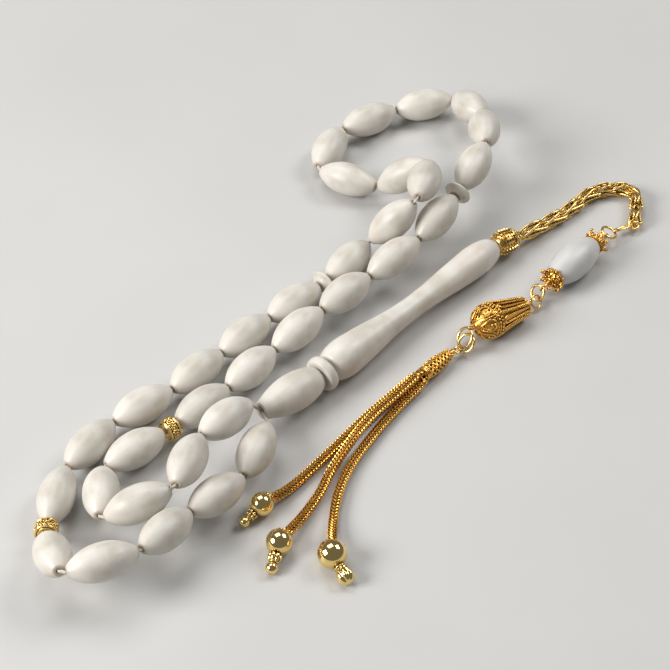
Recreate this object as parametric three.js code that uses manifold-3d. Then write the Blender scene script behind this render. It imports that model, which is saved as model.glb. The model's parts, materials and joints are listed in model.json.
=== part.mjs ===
// Misbaha prayer beads: a loop of 33 barley-shaped beads on one cord, gathered through a collector bead,
// a collar disc and a long imame, with a gold chain and a three-strand tassel behind it.
// Millimetres, +Z up, lying on z = 0, origin under the middle of the box around everything but the strands.
import * as THREE from 'three';
import { mergeVertices } from 'three/addons/utils/BufferGeometryUtils.js';
import Module from 'manifold-3d';

const wasm = await Module();
wasm.setup();

// ---- driving dimensions ----
const ORIGIN = new THREE.Vector3(5.2, 2.1, 0); // moved to (0, 0, 0) at the end
const GAP = 0.3; // clearance between neighbours
const BEAD = { length: 12.5, radius: 3.35, tip: 0.28, power: 2.3, bore: 0.62 };
const SPACER = { length: 2.4, end: 1.9, bore: 0.62 };
const MARKER = { length: 2.2, end: 1.3, bore: 0.62 };
const CORD_RADIUS = 0.28;
const STRAND_OFFSET = 0.46; // two strands side by side inside the head pieces
const HEAD_BORE = 1.1;
const SIDES = { bead: 12, disc: 16, imame: 16, cord: 8, gold: 12, ring: 10 };

const COLLECTOR = { from: [-13.5, -24.5, 5.3], to: [-3.4, -15.0, 3.8] };
const COLLAR = { halfThickness: 1.0, radius: 3.55, face: 2.9 };
const IMAME = { from: [-1.2, -12.6, 3.95], to: [32.0, 21.4, 3.4] };
const CAP = { from: [32.5, 21.9, 3.25], to: [37.9, 25.6, 2.9], hollow: 1.7 };
const CHAIN_RADIUS = 1.5;
const CHAIN_JOINTS = [
  [38.3, 25.9, 2.5], [46.8, 33.0, 1.6], [54.6, 40.0, 1.6], [61.7, 39.6, 1.6], [61.1, 29.8, 1.6],
];
const CHAIN_END_RADIUS = 0.6;
const HOOP = { major: 1.75, minor: 0.4 };
const CHAIN_RING = { ...HOOP, centre: [57.5, 27.1, 1.8], along: [-6.95, -5.2, 0], stretch: 1.75 };
const TASSEL_BEAD = { centre: [47.5, 17.1, 3.55], along: [-0.665, -0.747, 0], length: 12.2, radius: 3.5 };
const TASSEL_SHAPE = { tip: 0.52, power: 2.6, bore: 0.75, wire: 0.4 };
const TASSEL_CAP = { length: 2.3, radius: 2.6, eye: 1.3 };
const LINK_RING = { ...HOOP, centre: [38.95, 8.3, 2.2], along: [-0.48, -0.877, 0] };
const LANTERN = { from: [37.8, 5.9, 2.2], to: [26.4, -2.1, 4.4] };
const LOWER_RING = { ...HOOP, centre: [24.5, -4.0, 2.25], along: [-0.69, -0.724, 0] };
const TERMINAL = { from: [22.7, -5.9, 1.9], to: [15.6, -13.4, 1.95] };
const FOXTAIL = { radius: 0.95, steps: 24, sides: 8 };

// Outlines of the turned pieces: [radius, share of the length] or [radius, millimetres along the axis].
const BARLEY_STEPS = [-1, -0.78, -0.42, 0, 0.42, 0.78, 1];
const SPACER_OUTLINE = [
  [1.9, -1.2], [2.25, -0.95], [1.9, -0.6], [2.15, 0], [1.9, 0.6], [2.25, 0.95], [1.9, 1.2],
];
const MARKER_OUTLINE = [[1.3, -1.1], [2.0, -0.5], [2.75, -0.28], [2.75, 0.28], [2.0, 0.5], [1.3, 1.1]];
const COLLECTOR_OUTLINE = [
  [1.65, 0], [2.2, 0.1], [3.05, 0.28], [3.6, 0.5], [3.5, 0.72], [2.95, 0.9], [2.3, 1],
];
const IMAME_OUTLINE = [
  [2.3, 0], [3.15, 0.9], [3.65, 2.4], [3.8, 4.4], [3.5, 8.5], [2.85, 14], [2.35, 19], [2.2, 24],
  [2.4, 29], [2.8, 34], [3.1, 38.5], [3.2, 41.5], [2.95, 44.2], [2.35, 46.2], [1.6, 47.3],
];
const CAP_OUTLINE = [[2.1, 0], [2.5, 1.1], [2.6, 2.3], [2.45, 3.6], [1.9, 4.6], [1.2, 5.2]];
const CAP_STEM = 0.8;
const CAP_CEILING = 4.0;
const LANTERN_OUTLINE = [
  [0.5, 0], [0.5, 0.9], [1.95, 1.0], [2.0, 1.6], [2.4, 3.0], [3.3, 8.2], [3.65, 9.8], [3.7, 10.9],
  [3.2, 12.3], [2.0, 13.2], [0.8, 13.8],
];
const TERMINAL_OUTLINE = [
  [0.45, 0], [0.5, 1.2], [1.3, 1.5], [1.3, 2.3], [1.55, 4.0], [1.85, 6.5], [1.75, 8.6],
];
const TERMINAL_END = 1.8;

// Where the string bends, from the collector bead round the loop and back to it.
const STRING_JOINTS = [
  [-12, -27, 5], [-16.5, -39, 5], [-25, -49, 6.5], [-33, -59, 9], [-45.5, -63.5, 9], [-50.5, -52.5, 3.5],
  [-49.5, -49.5, 3.4], [-48, -36.5, 3.4], [-40.5, -25.5, 3.4], [-30.5, -17.5, 3.4], [-21.5, -8, 3.4],
  [-13, 1, 3.4], [-3.5, 10, 3.4], [-1, 11.5, 3.5], [7, 22, 4], [16, 23.5, 14], [19, 36.5, 12],
  [9, 39, 3.4], [-3.5, 45, 3.4], [1.5, 57.5, 3.4], [13, 64, 3.4], [26, 68, 3.4], [31, 56.5, 8.5],
  [31, 43.5, 11.5], [25, 32, 10], [24.5, 29.5, 9], [16.5, 19, 7.5], [6.5, 11, 5], [-2.5, 2, 5],
  [-11.5, -7, 3.4], [-20, -17, 3.4], [-29.5, -26, 3.4], [-31, -28.5, 3.4], [-41.5, -36.5, 3.4],
  [-40.5, -50, 6], [-28, -46.5, 10.5], [-23.5, -34, 9.5], [-15, -24, 7.5],
];
const PATTERN = [[5, 'bead'], [1, 'spacer'], [6, 'bead'], [1, 'marker'], [11, 'bead'], [1, 'marker'],
  [6, 'bead'], [1, 'spacer'], [5, 'bead']];

// The three limp strands of the tassel, from the binding to their balls.
const STRANDS = [
  { route: [[14.4, -12.9, 1.35], [10.4, -17.1, 1.05], [6.0, -22.0, 1.0], [2.0, -27.0, 1.0],
    [-2.5, -32.7, 1.0], [-6.0, -37.0, 1.1], [-8.9, -40.3, 1.5], [-11.1, -42.2, 2.0]],
    ball: [-13.0, -43.8, 2.2], tip: [-16.6, -47.7, 1.0], radius: 2.2 },
  { route: [[15.2, -13.8, 3.15], [11.4, -18.2, 2.95], [7.4, -22.8, 2.9], [4.2, -27.2, 2.6],
    [1.5, -31.5, 1.9], [-0.9, -35.7, 1.1], [-2.5, -39.8, 1.0], [-4.4, -43.5, 1.0], [-6.3, -46.9, 1.4],
    [-8.2, -50.0, 2.1]],
    ball: [-9.7, -52.4, 2.4], tip: [-11.2, -58.3, 1.1], radius: 2.4 },
  { route: [[16.1, -14.4, 1.35], [12.5, -18.8, 1.05], [9.0, -23.6, 1.0], [5.8, -28.6, 1.0],
    [3.1, -33.5, 1.0], [1.3, -38.0, 1.0], [0.2, -42.5, 1.0], [-0.3, -47.0, 1.1], [-0.5, -50.0, 1.7],
    [-0.5, -52.2, 2.3]],
    ball: [-0.5, -55.2, 2.65], tip: [2.6, -60.6, 1.3], radius: 2.65 },
];

// ---- materials ----
const COLOURS = {
  ivory: { color: 0xd8d2c6, roughness: 0.38, metalness: 0 },
  gold: { color: 0xd8a94a, roughness: 0.25, metalness: 1 },
  cord: { color: 0xc9c0ac, roughness: 0.85, metalness: 0 },
};
const material = (kind) => new THREE.MeshStandardMaterial(COLOURS[kind]);

// ---- vectors ----
const vec = (p) => new THREE.Vector3(...p);
const lerp = (a, b, t) => a.clone().lerp(b, t);
const direction = (a, b) => b.clone().sub(a).normalize();
const UP = new THREE.Vector3(0, 0, 1);
const LATHE_AXIS = new THREE.Vector3(0, 1, 0);

// ---- solids ----
// Keeps positions only, joins shared vertices and turns the faces outwards.
function solid(geometry) {
  const bare = geometry.clone();
  bare.deleteAttribute('normal');
  bare.deleteAttribute('uv');
  const merged = mergeVertices(bare);
  const p = merged.attributes.position;
  const index = [];
  let volume = 0;
  for (let i = 0; i < merged.index.count; i += 3) {
    const [a, b, c] = [0, 1, 2].map((k) => merged.index.getX(i + k));
    if (a === b || b === c || c === a) continue;
    index.push(a, b, c);
    const [va, vb, vc] = [a, b, c].map((k) => new THREE.Vector3().fromBufferAttribute(p, k));
    volume += va.dot(vb.cross(vc));
  }
  merged.setIndex(volume < 0 ? index.reverse() : index);
  merged.computeVertexNormals();
  return merged;
}

// A turned piece about +Y from [radius, height] pairs; with a bore the profile closes on itself.
function turned(profile, sides, bore = 0) {
  const points = profile.map(([radius, height]) => new THREE.Vector2(radius, height));
  const low = profile[0][1];
  const high = profile[profile.length - 1][1];
  if (bore > 0) {
    points.unshift(new THREE.Vector2(bore, low));
    points.push(new THREE.Vector2(bore, high), new THREE.Vector2(bore, low));
  } else {
    if (profile[0][0] > 0) points.unshift(new THREE.Vector2(0, low));
    if (profile[profile.length - 1][0] > 0) points.push(new THREE.Vector2(0, high));
  }
  return solid(new THREE.LatheGeometry(points, sides));
}

function toManifold(geometry) {
  return new wasm.Manifold(new wasm.Mesh({
    numProp: 3,
    vertProperties: new Float32Array(geometry.attributes.position.array),
    triVerts: new Uint32Array(geometry.index.array),
  }));
}

function joined(first, ...others) {
  const whole = others.reduce((sum, other) => sum.add(toManifold(other)), toManifold(first));
  const { vertProperties, triVerts } = whole.getMesh();
  const geometry = new THREE.BufferGeometry();
  geometry.setAttribute('position', new THREE.BufferAttribute(vertProperties, 3));
  geometry.setIndex(new THREE.BufferAttribute(triVerts, 1));
  geometry.computeVertexNormals();
  return geometry;
}

// ---- meshes ----
const model = new THREE.Group();

function add(name, geometry, kind) {
  const mesh = new THREE.Mesh(geometry, material(kind));
  mesh.name = name;
  model.add(mesh);
  return mesh;
}

// A turned piece placed with its +Y axis from one point towards another; height 0 is at the first.
function addTurned(name, geometry, kind, from, to) {
  const mesh = add(name, geometry, kind);
  mesh.position.copy(from);
  mesh.quaternion.setFromUnitVectors(LATHE_AXIS, direction(from, to));
  return mesh;
}

// ---- the string: where each bead sits ----
const pieces = PATTERN.flatMap(([count, kind]) => Array(count).fill(kind));
const LENGTHS = { bead: BEAD.length, spacer: SPACER.length, marker: MARKER.length };
const END_RADIUS = { bead: BEAD.tip * BEAD.radius, spacer: SPACER.end, marker: MARKER.end };

// How far the string turns at each joint; both its ends start from the collector bead.
function turnsAt(joints) {
  const line = [vec(COLLECTOR.from), ...joints, vec(COLLECTOR.from)];
  return joints.map((joint, i) => direction(line[i], joint).angleTo(direction(joint, line[i + 2])));
}

// The room that an end of this radius keeps to the joint, so that neighbours clear each other in a bend.
const share = (endRadius, turn) => GAP / 2 + endRadius * Math.tan(turn / 2);

// Turns a thin piece's span into line with the far ends of the beads on either side of it.
function squareUp(joints, i) {
  const middle = lerp(joints[i], joints[i + 1], 0.5);
  const reach = direction(joints[i - 1], joints[i + 2]).multiplyScalar(middle.distanceTo(joints[i]));
  joints[i].copy(middle).sub(reach);
  joints[i + 1].copy(middle).add(reach);
}

// Nudges the bends between the two fixed ends until every span holds its piece and its shares.
function fitSpans(joints) {
  const last = joints.length - 1;
  const ends = [joints[0].clone(), joints[last].clone()];
  for (let round = 0; round < 600; round += 1) {
    const turns = turnsAt(joints);
    pieces.forEach((kind, i) => {
      const [a, b] = [joints[i], joints[i + 1]];
      const shares = share(END_RADIUS[kind], turns[i]) + share(END_RADIUS[kind], turns[i + 1]);
      const push = direction(a, b).multiplyScalar((LENGTHS[kind] + shares - a.distanceTo(b)) / 2);
      a.sub(push);
      b.add(push);
      if (kind !== 'bead') squareUp(joints, i);
      a.z = Math.max(a.z, BEAD.radius);
      b.z = Math.max(b.z, BEAD.radius);
    });
    joints[0].copy(ends[0]);
    joints[last].copy(ends[1]);
  }
  return joints;
}

const stringJoints = fitSpans(STRING_JOINTS.map(vec));
const stringTurns = turnsAt(stringJoints);

function barleyProfile({ length, radius, tip, power }) {
  return BARLEY_STEPS.map((u) => [radius * (1 - (1 - tip) * Math.abs(u) ** power), (u * length) / 2]);
}

const stringGeometry = {
  bead: turned(barleyProfile(BEAD), SIDES.bead, BEAD.bore),
  spacer: turned(SPACER_OUTLINE, SIDES.disc, SPACER.bore),
  marker: turned(MARKER_OUTLINE, SIDES.disc, MARKER.bore),
};

const counts = { bead: 0, spacer: 0, marker: 0 };
const names = {
  bead: (n) => `bead_${String(n).padStart(2, '0')}`,
  spacer: (n) => `gold_spacer_${n}`,
  marker: (n) => `marker_disc_${n}`,
};
pieces.forEach((kind, i) => {
  counts[kind] += 1;
  const along = direction(stringJoints[i], stringJoints[i + 1]);
  const start = share(END_RADIUS[kind], stringTurns[i]);
  const middle = stringJoints[i].clone().addScaledVector(along, start + LENGTHS[kind] / 2);
  const look = kind === 'spacer' ? 'gold' : 'ivory';
  addTurned(names[kind](counts[kind]), stringGeometry[kind], look, middle, stringJoints[i + 1]);
});

// ---- collector bead, collar disc and imame ----
const collectorFrom = vec(COLLECTOR.from);
const collectorTo = vec(COLLECTOR.to);
const collectorLength = collectorFrom.distanceTo(collectorTo);
const collectorShape = COLLECTOR_OUTLINE.map(([radius, share]) => [radius, share * collectorLength]);
const collector = turned(collectorShape, SIDES.imame, HEAD_BORE);
addTurned('collector_bead', collector, 'ivory', collectorFrom, collectorTo);

const imameFrom = vec(IMAME.from);
const imameTo = vec(IMAME.to);
const collarMiddle = lerp(collectorTo, imameFrom, 0.5);
const collarShape = [-1, -0.7, 0, 0.7, 1].map((u) => [
  COLLAR.radius - (COLLAR.radius - COLLAR.face) * u ** 4,
  u * COLLAR.halfThickness,
]);
addTurned('collar_disc', turned(collarShape, SIDES.disc, HEAD_BORE), 'ivory', collarMiddle, imameFrom);
addTurned('imame', turned(IMAME_OUTLINE, SIDES.imame, HEAD_BORE), 'ivory', imameFrom, imameTo);

// ---- cap behind the imame: a hollow dome with an eye for the chain ----
const capFrom = vec(CAP.from);
const capTo = vec(CAP.to);
const capLength = capFrom.distanceTo(capTo);
const capShape = [[CAP.hollow, 0], ...CAP_OUTLINE, [CAP_STEM, capLength], [0, capLength],
  [0, CAP_CEILING], [CAP.hollow, CAP_CEILING - 0.7], [CAP.hollow, 0]];
const capPoints = capShape.map(([r, t]) => new THREE.Vector2(r, t));
addTurned('imame_cap', solid(new THREE.LatheGeometry(capPoints, SIDES.disc)), 'gold', capFrom, capTo);

// ---- the cord: one length from the knot in the cap, round the loop and back ----
// A tube whose sections stand on the given points, mitred at each bend.
class BentLine extends THREE.Curve {
  constructor(points) {
    super();
    this.points = points;
  }

  getPointAt(u, target = new THREE.Vector3()) {
    return target.copy(this.points[Math.round(u * (this.points.length - 1))]);
  }

  getTangentAt(u, target = new THREE.Vector3()) {
    const last = this.points.length - 1;
    const i = Math.round(u * last);
    const before = direction(this.points[Math.max(i - 1, 0)], this.points[Math.max(i, 1)]);
    const after = direction(this.points[Math.min(i, last - 1)], this.points[Math.min(i + 1, last)]);
    return target.copy(before).add(after).normalize();
  }
}

function roundSection(radius, sides) {
  const points = Array.from({ length: sides }, (_, k) => {
    const angle = (2 * Math.PI * k) / sides;
    return new THREE.Vector2(radius * Math.cos(angle), radius * Math.sin(angle));
  });
  return new THREE.Shape(points);
}

function tube(curve, steps, radius, sides) {
  const options = { steps, extrudePath: curve, bevelEnabled: false };
  return solid(new THREE.ExtrudeGeometry(roundSection(radius, sides), options));
}

// Splits each bend into two half bends, a short way to either side of it.
function softenBends(points, reach) {
  return points.flatMap((point, i) => {
    if (i === 0 || i === points.length - 1) return [point];
    const back = direction(point, points[i - 1]).multiplyScalar(reach(i));
    const on = direction(point, points[i + 1]).multiplyScalar(reach(i));
    return [point.clone().add(back), point.clone().add(on)];
  });
}

const LEAD = 0.45; // the cord runs straight out of a head bore this far before it bends
const knotCentre = lerp(capFrom, capTo, 0.29);

function headStrand(side) {
  const aside = (from, to) => UP.clone().cross(direction(from, to)).setZ(0).normalize()
    .multiplyScalar(side * STRAND_OFFSET);
  const inHead = aside(imameFrom, imameTo);
  const inCollector = aside(collectorFrom, collectorTo);
  const lead = direction(collectorTo, collectorFrom).multiplyScalar(LEAD);
  return [
    knotCentre.clone().addScaledVector(inHead, 0.8),
    imameTo.clone().add(inHead).addScaledVector(direction(imameFrom, imameTo), GAP / 2),
    imameFrom.clone().add(inHead),
    collectorTo.clone().add(inCollector),
    collectorFrom.clone().add(inCollector).add(lead),
  ];
}

const cordLine = [...headStrand(-1), ...stringJoints, ...headStrand(1).reverse()];
const headPoints = headStrand(1).length;
const cordPoints = softenBends(cordLine, (i) => {
  const onString = i >= headPoints && i < cordLine.length - headPoints;
  return onString ? 0.8 * share(END_RADIUS.bead, stringTurns[i - headPoints]) : 0.15;
});
const cordTube = tube(new BentLine(cordPoints), cordPoints.length - 1, CORD_RADIUS, SIDES.cord);
const knot = solid(new THREE.SphereGeometry(1.2, 10, 8));
knot.translate(...knotCentre.toArray());
add('cord', joined(cordTube, knot), 'cord');

// ---- chain ----
const chainJoints = CHAIN_JOINTS.map(vec);
const chainLine = [capTo, ...chainJoints, vec(CHAIN_RING.centre)];
const chainTurns = chainJoints.map((joint, i) => direction(chainLine[i], joint).angleTo(
  direction(joint, chainLine[i + 2])));
for (let i = 0; i < chainJoints.length - 1; i += 1) {
  const [a, b] = [chainJoints[i], chainJoints[i + 1]];
  const start = share(CHAIN_END_RADIUS, chainTurns[i]);
  const end = a.distanceTo(b) - share(CHAIN_END_RADIUS, chainTurns[i + 1]);
  const shape = [[CHAIN_END_RADIUS, start], [1.05, start + 0.8], [CHAIN_RADIUS, start + 2.2],
    [CHAIN_RADIUS, end - 2.2], [1.05, end - 0.8], [CHAIN_END_RADIUS, end]];
  addTurned(`chain_${i + 1}`, turned(shape, SIDES.gold), 'gold', a, b);
}

// ---- rings: each hoop lies in the plane of its own direction and of a second one ----
function hoop(name, { centre, along, major, minor, stretch = 1 }, across) {
  const geometry = solid(new THREE.TorusGeometry(major, minor, 8, SIDES.ring * 2));
  geometry.scale(stretch, 1, 1);
  const mesh = add(name, geometry, 'gold');
  const x = vec(along).normalize();
  const z = x.clone().cross(across).normalize();
  const y = z.clone().cross(x);
  mesh.quaternion.setFromRotationMatrix(new THREE.Matrix4().makeBasis(x, y, z));
  mesh.position.copy(vec(centre));
}

const flatAcross = (ring) => UP.clone().cross(vec(ring.along)).normalize();
hoop('chain_ring', CHAIN_RING, flatAcross(CHAIN_RING));
hoop('link_ring', LINK_RING, UP);
hoop('lower_ring', LOWER_RING, UP);

// ---- white tassel bead between two flower caps on one wire ----
const tasselCentre = vec(TASSEL_BEAD.centre);
const tasselAlong = vec(TASSEL_BEAD.along).normalize();
const tasselDown = tasselCentre.clone().add(tasselAlong);
const tasselUp = tasselCentre.clone().sub(tasselAlong);
const tasselProfile = barleyProfile({ ...TASSEL_BEAD, ...TASSEL_SHAPE });
const tasselGeometry = turned(tasselProfile, SIDES.imame, TASSEL_SHAPE.bore);
addTurned('tassel_bead', tasselGeometry, 'ivory', tasselCentre, tasselDown);

const capStart = TASSEL_BEAD.length / 2 + GAP;
const flowerShape = [[1.7, capStart], [TASSEL_CAP.radius, capStart + 0.5], [2.2, capStart + 1.3],
  [1.1, capStart + TASSEL_CAP.length], [0.6, capStart + TASSEL_CAP.length + TASSEL_CAP.eye]];
addTurned('tassel_cap_upper', turned(flowerShape, SIDES.gold), 'gold', tasselCentre, tasselUp);
const wireEnd = -TASSEL_BEAD.length / 2;
const wiredShape = [[TASSEL_SHAPE.wire, wireEnd], [TASSEL_SHAPE.wire, capStart], ...flowerShape];
addTurned('tassel_cap_lower', turned(wiredShape, SIDES.gold), 'gold', tasselCentre, tasselDown);

// ---- lantern and the binding that gathers the strands ----
addTurned('lantern', turned(LANTERN_OUTLINE, SIDES.disc), 'gold', vec(LANTERN.from), vec(LANTERN.to));

const terminalLength = vec(TERMINAL.from).distanceTo(vec(TERMINAL.to));
const terminal = turned([...TERMINAL_OUTLINE, [TERMINAL_END, terminalLength - GAP]], SIDES.gold);
addTurned('tassel_terminal', terminal, 'gold', vec(TERMINAL.from), vec(TERMINAL.to));

// ---- strands and balls ----
const BALL_STEPS = 8;
STRANDS.forEach(({ route, ball, tip, radius }, i) => {
  const curve = new THREE.CatmullRomCurve3(route.map(vec), false, 'centripetal');
  add(`foxtail_${i + 1}`, tube(curve, FOXTAIL.steps, FOXTAIL.radius, FOXTAIL.sides), 'gold');
  const reach = vec(ball).distanceTo(vec(tip));
  const shape = [];
  for (let k = 0; k < BALL_STEPS; k += 1) {
    const angle = (Math.PI * k) / BALL_STEPS;
    shape.push([radius * Math.sin(angle), -radius * Math.cos(angle)]);
  }
  shape.push([radius * 0.42, radius * 0.98], [radius * 0.36, reach * 0.85], [0, reach]);
  addTurned(`ball_${i + 1}`, turned(shape, SIDES.gold), 'gold', vec(ball), vec(tip));
});

model.position.copy(ORIGIN).negate();
model.updateMatrixWorld(true);

export default model;
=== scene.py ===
"""The looks of a misbaha: a string of barley beads, a turned head-piece, a gold chain and a tassel."""

import json
import math
import random

import bmesh
import bpy
from mathutils import Matrix, Vector


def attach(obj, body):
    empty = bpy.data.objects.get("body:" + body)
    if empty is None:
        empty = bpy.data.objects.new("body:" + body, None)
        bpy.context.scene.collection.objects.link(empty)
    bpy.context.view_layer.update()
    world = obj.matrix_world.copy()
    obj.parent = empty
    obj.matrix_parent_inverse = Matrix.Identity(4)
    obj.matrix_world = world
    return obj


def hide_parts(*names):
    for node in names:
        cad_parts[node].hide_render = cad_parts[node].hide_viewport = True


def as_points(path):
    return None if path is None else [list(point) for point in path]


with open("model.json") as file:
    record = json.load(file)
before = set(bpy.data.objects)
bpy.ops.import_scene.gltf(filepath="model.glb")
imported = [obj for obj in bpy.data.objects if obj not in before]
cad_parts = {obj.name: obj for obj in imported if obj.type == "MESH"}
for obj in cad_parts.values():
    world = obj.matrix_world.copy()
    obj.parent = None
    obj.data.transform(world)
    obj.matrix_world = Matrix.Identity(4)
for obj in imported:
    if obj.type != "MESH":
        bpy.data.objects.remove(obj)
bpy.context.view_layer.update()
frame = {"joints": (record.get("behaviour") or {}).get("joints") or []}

MM = 0.001
DRAWING_ORIGIN = Vector((5.2, 2.1, 0.0)) * MM  # the point of the part's drawing that is the frame's origin
JOINTS = {joint["name"]: joint for joint in frame["joints"]}
DRAW = random.Random(33)


def place(x, y, z):
    """A point of the part's drawing, given in millimetres, in the frame."""
    return Vector((x, y, z)) * MM - DRAWING_ORIGIN


# ---- sizes, and places on the part's drawing ----
BEAD_LENGTH = 12.5 * MM
BEAD_RADIUS = 3.35 * MM
BEAD_TIP = 0.28  # the share of the radius that is left at a tip
BEAD_POWER = 2.3  # how full the bead is between its middle and its tips
BEAD_BORE = 0.42 * MM
HEAD_BORE = 0.88 * MM
CORD_RADIUS = 0.3 * MM
STRAND_OFFSET = 0.46 * MM
SPACER_LENGTH = 2.4 * MM
MARKER_LENGTH = 2.2 * MM
COLLECTOR = (place(-13.5, -24.5, 5.3), place(-3.4, -15.0, 3.8))
IMAME = (place(-1.2, -12.6, 3.95), place(32.0, 21.4, 3.4))
CAP = (place(32.5, 21.9, 3.25), place(37.9, 25.6, 2.9))
CHAIN_JOINTS = [
    place(38.3, 25.9, 2.5), place(46.8, 33.0, 1.6), place(54.6, 40.0, 1.6),
    place(61.7, 39.6, 1.6), place(61.1, 29.8, 1.6),
]
TASSEL_CENTRE = place(47.5, 17.1, 3.55)
TASSEL_ALONG = Vector((-0.665, -0.747, 0.0)).normalized()
TASSEL_LENGTH = 12.2 * MM
TASSEL_RADIUS = 3.5 * MM
TASSEL_TIP = 0.52
TASSEL_POWER = 2.6
TASSEL_BORE = 0.75 * MM
TASSEL_WIRE = 0.4 * MM
UPPER_EYE = place(54.55, 25.0, 2.75)
LOWER_EYE = place(40.6, 9.35, 3.55)
LANTERN = (place(37.8, 5.9, 2.2), place(26.4, -2.1, 4.4))
LANTERN_EYES = (0.25 * MM, 14.45 * MM)  # the heights of its eyes along its axis
TERMINAL = (place(22.7, -5.9, 1.9), place(15.6, -13.4, 1.95))
PATTERN = [
    (5, "bead"), (1, "gold_spacer"), (6, "bead"), (1, "marker_disc"), (11, "bead"),
    (1, "marker_disc"), (6, "bead"), (1, "gold_spacer"), (5, "bead"),
]
STRANDS = [
    {
        "route": [
            place(14.4, -12.9, 1.35), place(10.4, -17.1, 1.05), place(6.0, -22.0, 1.0),
            place(2.0, -27.0, 1.0), place(-2.5, -32.7, 1.0), place(-6.0, -37.0, 1.1),
            place(-8.9, -40.3, 1.5), place(-11.1, -42.2, 2.0),
        ],
        "ball": place(-13.0, -43.8, 2.2), "tip": place(-16.6, -47.7, 1.0), "radius": 2.2 * MM,
    },
    {
        "route": [
            place(15.2, -13.8, 3.15), place(11.4, -18.2, 2.95), place(7.4, -22.8, 2.9),
            place(4.2, -27.2, 2.6), place(1.5, -31.5, 1.9), place(-0.9, -35.7, 1.1),
            place(-2.5, -39.8, 1.0), place(-4.4, -43.5, 1.0), place(-6.3, -46.9, 1.4),
            place(-8.2, -50.0, 2.1),
        ],
        "ball": place(-9.7, -52.4, 2.4), "tip": place(-11.2, -58.3, 1.1), "radius": 2.4 * MM,
    },
    {
        "route": [
            place(16.1, -14.4, 1.35), place(12.5, -18.8, 1.05), place(9.0, -23.6, 1.0),
            place(5.8, -28.6, 1.0), place(3.1, -33.5, 1.0), place(1.3, -38.0, 1.0),
            place(0.2, -42.5, 1.0), place(-0.3, -47.0, 1.1), place(-0.5, -50.0, 1.7),
            place(-0.5, -52.2, 2.3),
        ],
        "ball": place(-0.5, -55.2, 2.65), "tip": place(2.6, -60.6, 1.3), "radius": 2.65 * MM,
    },
]


# ---- lines and frames ----
def axis_frame(origin, direction, turn=0.0):
    """A matrix whose +Z runs along a direction, with +X level, from an origin."""
    z = Vector(direction).normalized()
    x = Vector((-z.y, z.x, 0.0))
    x = x.normalized() if x.length > 1e-6 else Vector((1.0, 0.0, 0.0))
    matrix = Matrix((x, z.cross(x), z)).transposed().to_4x4()
    matrix.translation = origin
    return matrix @ Matrix.Rotation(turn, 4, "Z")


def curve_through(points, steps):
    """A centripetal Catmull-Rom line through points, with this many steps between neighbours."""
    points = [Vector(p) for p in points]
    line = [2 * points[0] - points[1], *points, 2 * points[-1] - points[-2]]
    out = []
    for i in range(len(points) - 1):
        p = line[i:i + 4]
        t = [0.0]
        for a, b in zip(p, p[1:]):
            t.append(t[-1] + math.sqrt((b - a).length))
        for k in range(steps):
            u = t[1] + (t[2] - t[1]) * k / steps
            level = p
            for ends in (((0, 1), (1, 2), (2, 3)), ((0, 2), (1, 3)), ((1, 2),)):
                level = [
                    level[j] * ((t[b] - u) / (t[b] - t[a])) + level[j + 1] * ((u - t[a]) / (t[b] - t[a]))
                    for j, (a, b) in enumerate(ends)
                ]
            out.append(level[0])
    out.append(points[-1])
    return out


def evenly(points, count):
    """The same line as count + 1 points, equal distances apart."""
    lengths = [0.0]
    for a, b in zip(points, points[1:]):
        lengths.append(lengths[-1] + (b - a).length)
    out, i = [], 0
    for k in range(count + 1):
        want = lengths[-1] * k / count
        while i < len(points) - 2 and lengths[i + 1] < want:
            i += 1
        share = (want - lengths[i]) / (lengths[i + 1] - lengths[i])
        out.append(points[i].lerp(points[i + 1], min(share, 1.0)))
    return out


def length_of(points):
    return sum((b - a).length for a, b in zip(points, points[1:]))


def transported(points, closed=False):
    """A frame at each point of a line, Z along it, turned no more than the line itself turns."""
    count = len(points)
    frames, previous = [], None
    for i, point in enumerate(points):
        after = points[(i + 1) % count] if closed else points[min(i + 1, count - 1)]
        before = points[i - 1] if closed or i else points[0]
        tangent = (after - before).normalized()
        if previous is None:
            matrix = axis_frame(point, tangent)
        else:
            turn = previous.col[2].to_3d().rotation_difference(tangent)
            matrix = turn.to_matrix().to_4x4() @ previous
            matrix.translation = point
        frames.append(matrix)
        previous = matrix
    if closed:
        missing = previous.col[2].to_3d().rotation_difference(frames[0].col[2].to_3d())
        side = missing @ previous.col[0].to_3d()
        first = frames[0]
        angle = math.atan2(side.dot(first.col[1].to_3d()), side.dot(first.col[0].to_3d()))
        frames = [f @ Matrix.Rotation(-angle * i / count, 4, "Z") for i, f in enumerate(frames)]
    return frames


def round_points(centre, radius, count):
    """Points of a circle about a matrix's Z axis."""
    angles = [2 * math.pi * k / count for k in range(count)]
    return [centre @ Vector((radius * math.cos(a), radius * math.sin(a), 0.0)) for a in angles]


# ---- shapes ----
GRANULE_STEPS = 8
WIRE_ENDS = ((0.5, 0.85), (0.9, 0.45))  # (reach, share) of the radius for each ring of a rounded wire end


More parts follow.
